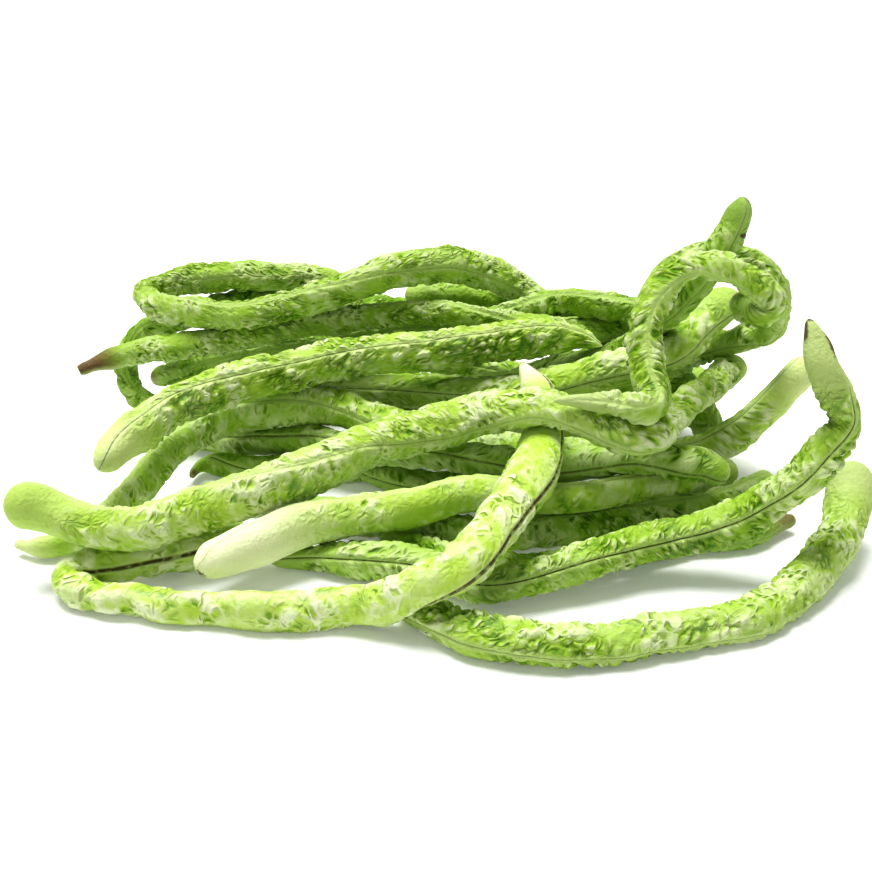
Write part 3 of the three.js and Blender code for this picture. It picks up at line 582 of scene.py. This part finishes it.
def pod_skin(name, look, rng):
    """A pod's skin in rings of points, its two tips, and the values that its material reads."""
    knots, places, halves, seams = line_of(name, look["first"])
    length = float(knots[-1])
    at = stations(length, halves[CAP_RINGS], halves[-1 - CAP_RINGS])
    centre = evened(smooth_curve(knots, places, at), at, EVEN_LINE)
    half = np.sqrt(np.maximum(steady_curve(knots, halves**2, at), TINY)) * drawn_girth(look, at, length)
    tangent, seam, across = directions(centre, evened(smooth_curve(knots, seams, at), at, EVEN_SEAM), at)
    turned = math.radians(look.get("turn", 0))
    seam, across = (math.cos(turned) * seam + math.sin(turned) * across,
                    math.cos(turned) * across - math.sin(turned) * seam)
    bend = np.gradient(tangent, at, axis=0)
    half = half[:, None]

    turn = 2 * math.pi * np.arange(ROUND) / ROUND
    angle = (turn - CROWDING * np.sin(2 * turn) / 2)[None, :]
    distance = np.repeat(at[:, None], ROUND, axis=1)
    angle = np.repeat(angle, len(at), axis=0)
    outward = np.cos(angle)[..., None] * seam[:, None] + np.sin(angle)[..., None] * across[:, None]

    bumps, height, wrinkled = skin_relief(distance, angle, half, length, look, rng)
    to_first_seam = ((angle + math.pi) % (2 * math.pi) - math.pi) * half
    to_back_seam = (angle % (2 * math.pi) - math.pi) * half
    to_end = np.minimum(distance, length - distance)
    first_depth = PLAIN_SEAM + (1 - PLAIN_SEAM) * look["seam"]
    lips = seam_profile(np.abs(to_first_seam), first_depth)
    lips = lips + seam_profile(np.abs(to_back_seam), look["back_seam"])
    bumps = bumps + smoothstep(*SEAM_FADE, to_end) * lips
    grown = smoothstep(0, END_FADE, to_end)
    reach = half * (1 + OVAL * grown * np.cos(2 * angle)) + grown * (SWELL + bumps)
    inward = (outward * bend[:, None]).sum(axis=2)
    reach = np.where(inward > TINY, np.minimum(reach, INNER_LIMIT / np.maximum(inward, TINY)), reach)

    skin = centre[:, None] + outward * reach[..., None]
    skin[..., 2] = np.maximum(skin[..., 2], FLOOR_GAP)
    tips = places[[0, -1]]
    tips[:, 2] = np.maximum(tips[:, 2], FLOOR_GAP)
    values = {
        "wrinkle": wrinkle_place(distance, angle, half, look),
        "wrinkled": wrinkled,
        "height": height,
        "scar": scar_marks(look, distance, outward),
        "first_seam": to_first_seam,
        "back_seam": to_back_seam,
        "from_first": distance,
        "from_last": length - distance,
    }
    return skin, tips, values


def skin_mesh(name, skin, tips, values):
    """A closed mesh of the rings and the tips, with each value as an attribute of its points."""
    rings = len(skin)
    points = np.vstack([skin.reshape(-1, 3), tips]) * MM
    base = np.arange(rings - 1)[:, None] * ROUND
    side = np.arange(ROUND)[None, :]
    after = (side + 1) % ROUND
    quads = np.stack([base + side, base + after, base + ROUND + after, base + ROUND + side], axis=-1)
    faces = quads.reshape(-1, 4).tolist()
    last = (rings - 1) * ROUND
    first_tip, last_tip = rings * ROUND, rings * ROUND + 1
    for s in range(ROUND):
        n = (s + 1) % ROUND
        faces.append([first_tip, n, s])
        faces.append([last_tip, last + s, last + n])
    mesh = bpy.data.meshes.new(name)
    mesh.from_pydata(points.tolist(), [], faces)
    for key, value in values.items():
        flat = value.reshape(rings * ROUND, -1)
        ends = [value[0].mean(axis=0).reshape(1, -1), value[-1].mean(axis=0).reshape(1, -1)]
        data = np.vstack([flat, *ends]).ravel().astype(np.float32)
        if value.ndim == 3:
            mesh.attributes.new(key, "FLOAT_VECTOR", "POINT").data.foreach_set("vector", data)
        else:
            mesh.attributes.new(key, "FLOAT", "POINT").data.foreach_set("value", data)
    mesh.shade_smooth()
    mesh.update()
    return mesh


# Node materials
def attribute(tree, name, output="Fac"):
    """A value that the mesh holds for each point."""
    node = tree.nodes.new("ShaderNodeAttribute")
    node.attribute_name = name
    return node.outputs[output]


def ranged(tree, value, source, target=(0.0, 1.0), way="SMOOTHSTEP"):
    """A value moved from one range into another, and held at that one's ends."""
    node = tree.nodes.new("ShaderNodeMapRange")
    node.interpolation_type = way
    tree.links.new(value, node.inputs["Value"])
    for key, number in zip(("From Min", "From Max", "To Min", "To Max"), (*source, *target)):
        node.inputs[key].default_value = number
    return node.outputs["Result"]


def spread(tree, value, target):
    """A value from 0 to 1, spread evenly over another range."""
    return ranged(tree, value, (0.0, 1.0), target, "LINEAR")


def maths(tree, operation, *numbers):
    """Numbers or sockets, put through one operation."""
    node = tree.nodes.new("ShaderNodeMath")
    node.operation = operation
    for socket, value in zip(node.inputs, numbers):
        if isinstance(value, (int, float)):
            socket.default_value = value
        else:
            tree.links.new(value, socket)
    return node.outputs["Value"]


def mixed(tree, share, a, b):
    """From colour a to colour b, each a tuple or a socket."""
    node = tree.nodes.new("ShaderNodeMix")
    node.data_type = "RGBA"
    tree.links.new(share, next(s for s in node.inputs if s.identifier == "Factor_Float"))
    for key, value in (("A_Color", a), ("B_Color", b)):
        socket = next(s for s in node.inputs if s.identifier == key)
        if isinstance(value, tuple):
            socket.default_value = (*value, 1)
        else:
            tree.links.new(value, socket)
    return next(s for s in node.outputs if s.identifier == "Result_Color")


def vector_sum(tree, vector, shift):
    node = tree.nodes.new("ShaderNodeVectorMath")
    node.operation = "ADD"
    tree.links.new(vector, node.inputs[0])
    node.inputs[1].default_value = shift
    return node.outputs["Vector"]


def noise(tree, size, detail, offset):
    """Noise with features of this size in mm."""
    place = tree.nodes.new("ShaderNodeTexCoord").outputs["Object"]
    moved = vector_sum(tree, place, tuple(offset * s for s in NOISE_WAY))
    node = tree.nodes.new("ShaderNodeTexNoise")
    node.inputs["Scale"].default_value = 1 / (size * MM)
    node.inputs["Detail"].default_value = detail
    tree.links.new(moved, node.inputs["Vector"])
    return node.outputs["Fac"]


def swayed_place(tree):
    """Where a point lies on the straightened pod, pushed out of line by soft noise."""
    place = attribute(tree, "wrinkle", "Vector")
    sway = tree.nodes.new("ShaderNodeTexNoise")
    sway.inputs["Scale"].default_value = CELL_SWAY_SCALE
    sway.inputs["Detail"].default_value = 1.0
    tree.links.new(place, sway.inputs["Vector"])
    moved = tree.nodes.new("ShaderNodeVectorMath")
    moved.operation = "MULTIPLY_ADD"
    tree.links.new(sway.outputs["Color"], moved.inputs[0])
    moved.inputs[1].default_value = (CELL_SWAY, CELL_SWAY, CELL_SWAY)
    tree.links.new(place, moved.inputs[2])
    return moved.outputs["Vector"]


def fine_relief(tree, look, offset):
    """The finer wrinkles, from 0 in a hollow to 1 on a ridge."""
    place = vector_sum(tree, swayed_place(tree), tuple(s * offset for s in CELL_WAY))
    edges = tree.nodes.new("ShaderNodeTexVoronoi")
    edges.feature = "DISTANCE_TO_EDGE"
    own = tree.nodes.new("ShaderNodeTexVoronoi")
    for node in (edges, own):
        node.inputs["Scale"].default_value = CELL_SCALE
        tree.links.new(place, node.inputs["Vector"])
    red = tree.nodes.new("ShaderNodeSeparateColor")
    tree.links.new(own.outputs["Color"], red.inputs["Color"])
    from_edge, number = edges.outputs["Distance"], red.outputs["Red"]
    hollow = maths(tree, "MULTIPLY", ranged(tree, from_edge, NET_EDGE), spread(tree, number, NET_DEPTH))
    netted = spread(tree, hollow, (1.0, 0.0))
    risen = ranged(tree, from_edge, PAD_EDGE, PAD_RISE)
    pads = maths(tree, "MULTIPLY", risen, spread(tree, number, PAD_HEIGHT))
    middle = KIND_MIDDLE - KIND_BY_NET * look["net"]
    areas = noise(tree, KIND_SIZE, 1.0, offset)
    kind = ranged(tree, areas, (middle - KIND_EDGE, middle + KIND_EDGE))
    difference = maths(tree, "SUBTRACT", netted, pads)
    return maths(tree, "ADD", pads, maths(tree, "MULTIPLY", difference, kind))


def blend_colours(low, high, share):
    return tuple(a + (b - a) * share for a, b in zip(low, high))


def wrinkle_colours(tree, height, patches, grain, colours):
    """Creases darker, partly as painted shade, the middle green, and rises paler, partly as painted
    highlight, with paler patches and a fine grain.
    """
    crease_and_shade, middle, rise_and_highlight = colours
    low = mixed(tree, ranged(tree, height, CREASE_SHADE_BAND), crease_and_shade, middle)
    colour = mixed(tree, ranged(tree, height, RISE_HIGHLIGHT_BAND), low, rise_and_highlight)
    pale = ranged(tree, patches, PATCHES_BAND, (0.0, PATCHES_SHARE))
    colour = mixed(tree, pale, colour, rise_and_highlight)
    return mixed(tree, ranged(tree, grain, GRAIN_BAND, (0.0, GRAIN_SHARE)), colour, middle)


def tip_colours(tree, colour, look, patches):
    """The two tips, which fade into the pod unevenly."""
    for key, (tint, size) in zip(("from_first", "from_last"), look["tips"]):
        ragged = maths(tree, "MULTIPLY_ADD", patches, TIP_RAGGED * size, -TIP_RAGGED / 2 * size)
        along = maths(tree, "ADD", attribute(tree, key), ragged)
        fade = ranged(tree, along, tuple(end * size for end in TIP_BAND), (TIP_SHARE, 0.0))
        colour = mixed(tree, fade, colour, tint)
    return colour


def seam_colours(tree, colour, look, offset, beside):
    """Along each seam a paler band, and a dark line that is weaker in places."""
    broken = ranged(tree, noise(tree, BREAK_SIZE, 2.0, offset), BREAK_BAND, (BREAK_LEAST, 1.0))
    width = look.get("seam_width", SEAM_WIDTH)
    for key, dark in (("first_seam", look["seam"]), ("back_seam", look["back_seam"])):
        away = maths(tree, "ABSOLUTE", attribute(tree, key))
        colour = mixed(tree, ranged(tree, away, SEAM_PALE_BAND, (SEAM_PALE_SHARE, 0.0)), colour, beside)
        line = ranged(tree, away, tuple(end * width for end in SEAM_LINE), (SEAM_SHARE * dark, 0.0))
        line = maths(tree, "MULTIPLY", line, broken)
        colour = mixed(tree, line, colour, look.get("seam_tint", SEAM_DARK))
    return colour


def scar_colours(tree, colour, grain):
    """Brown marks with an uneven edge."""
    uneven = ranged(tree, grain, EVEN_GRAIN, (-SCAR_RAGGED, SCAR_RAGGED))
    ragged = maths(tree, "ADD", attribute(tree, "scar"), uneven)
    return mixed(tree, ranged(tree, ragged, SCAR_BAND, (0.0, SCAR_SHARE)), colour, SCAR)


def pod_material(name, look):
    material = bpy.data.materials.new(name)
    material.use_nodes = True
    tree = material.node_tree
    shader = tree.nodes["Principled BSDF"]
    offset = NOISE_STEP * (1 + list(POD_LOOKS).index(name))
    # A low tone darkens all three colours; on the pods deep in the heap that is partly painted shade
    colours = tuple(blend_colours(*pair, look["tone_and_shade"]) for pair in (CREASE_GREEN_AND_SHADE, MIDDLE, RISE_PALE_AND_HIGHLIGHT))

    depth = FINE_LEAST + (1 - FINE_LEAST) * look["relief"]
    wrinkled = spread(tree, attribute(tree, "wrinkled"), (0.0, depth))
    centred = maths(tree, "SUBTRACT", fine_relief(tree, look, offset), FINE_MIDDLE)
    fine = maths(tree, "MULTIPLY", centred, wrinkled)
    # The colour follows this height: darker in the hollows, partly as painted shade, and paler on the
    # rises, partly as painted highlight
    height = maths(tree, "ADD", attribute(tree, "height"), fine)
    patches = noise(tree, PATCHES_SIZE, 2.0, offset)
    grain = noise(tree, GRAIN_SIZE, 3.0, offset)

    colour = wrinkle_colours(tree, height, patches, grain, colours)
    colour = tip_colours(tree, colour, look, patches)
    colour = seam_colours(tree, colour, look, offset, blend_colours(*colours[1:], SEAM_PALE))
    if "spots" in look:
        colour = scar_colours(tree, colour, grain)

    tree.links.new(colour, shader.inputs["Base Color"])
    tree.links.new(ranged(tree, grain, EVEN_GRAIN, ROUGHNESS), shader.inputs["Roughness"])
    shader.inputs["Specular IOR Level"].default_value = GLOSS
    shader.inputs["Subsurface Weight"].default_value = UNDER_SKIN
    shader.inputs["Subsurface Radius"].default_value = UNDER_SKIN_REACH
    shader.inputs["Subsurface Scale"].default_value = UNDER_SKIN_SCALE * MM
    grained = spread(tree, noise(tree, ROUGH_GRAIN_SIZE, 4.0, offset), (0.0, ROUGH_GRAIN_DEPTH))
    bump = tree.nodes.new("ShaderNodeBump")
    bump.inputs["Strength"].default_value = 1.0
    bump.inputs["Distance"].default_value = FINE_DEPTH * MM
    tree.links.new(maths(tree, "ADD", fine, grained), bump.inputs["Height"])
    tree.links.new(bump.outputs["Normal"], shader.inputs["Normal"])
    return material


def make_pod(index, name, look):
    rng = np.random.default_rng(FIRST_SEED + index)
    skin, tips, values = pod_skin(name, look, rng)
    pod = bpy.data.objects.new(name + "_skin", skin_mesh(name + "_skin", skin, tips, values))
    bpy.context.scene.collection.objects.link(pod)
    pod.data.materials.append(pod_material(name, look))
    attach(pod, "root")
    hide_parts(name)


# Table, light and camera
def plain_material(name, colour, roughness, glow):
    material = bpy.data.materials.new(name)
    material.use_nodes = True
    shader = material.node_tree.nodes["Principled BSDF"]
    shader.inputs["Base Color"].default_value = (*colour, 1)
    shader.inputs["Roughness"].default_value = roughness
    shader.inputs["Emission Color"].default_value = (1, 1, 1, 1)
    shader.inputs["Emission Strength"].default_value = glow
    return material


def make_table():
    corners = [(-TABLE_HALF, -TABLE_HALF, 0), (TABLE_HALF, -TABLE_HALF, 0),
               (TABLE_HALF, TABLE_HALF, 0), (-TABLE_HALF, TABLE_HALF, 0)]
    mesh = bpy.data.meshes.new("table")
    mesh.from_pydata(corners, [], [(0, 1, 2, 3)])
    table = bpy.data.objects.new("table", mesh)
    bpy.context.scene.collection.objects.link(table)
    mesh.materials.append(plain_material("table_white", TABLE_COLOUR, TABLE_ROUGHNESS, TABLE_GLOW))


def make_sun():
    """A soft sun. Its azimuth is where its light comes from: 0 from the front, 90 from the right."""
    data = bpy.data.lights.new("sun", "SUN")
    data.energy = SUN_POWER
    data.angle = math.radians(SUN_SPREAD)
    lamp = bpy.data.objects.new("sun", data)
    lamp.rotation_euler = (math.radians(90 - SUN_HEIGHT), 0, math.radians(SUN_AZIMUTH))
    bpy.context.scene.collection.objects.link(lamp)


def make_room():
    world = bpy.data.worlds.new("room")
    world.use_nodes = True
    world.node_tree.nodes["Background"].inputs["Color"].default_value = (1, 1, 1, 1)
    world.node_tree.nodes["Background"].inputs["Strength"].default_value = ROOM_LIGHT
    bpy.context.scene.world = world
    bpy.context.scene.view_settings.view_transform = "Standard"
    bpy.context.scene.view_settings.look = "Medium High Contrast"


def make_camera():
    data = bpy.data.cameras.new("camera")
    data.sensor_width = SENSOR
    data.lens = FOCAL * SENSOR / PHOTO_SIDE
    data.clip_start = CLIP_START
    camera = bpy.data.objects.new("camera", data)
    camera.location = [c * MM for c in EYE]
    camera.rotation_euler = (math.radians(90 - TILT), 0, 0)
    bpy.context.scene.collection.objects.link(camera)
    bpy.context.scene.camera = camera


for index, (name, look) in enumerate(POD_LOOKS.items()):
    make_pod(index, name, look)
make_table()
make_sun()
make_room()
make_camera()
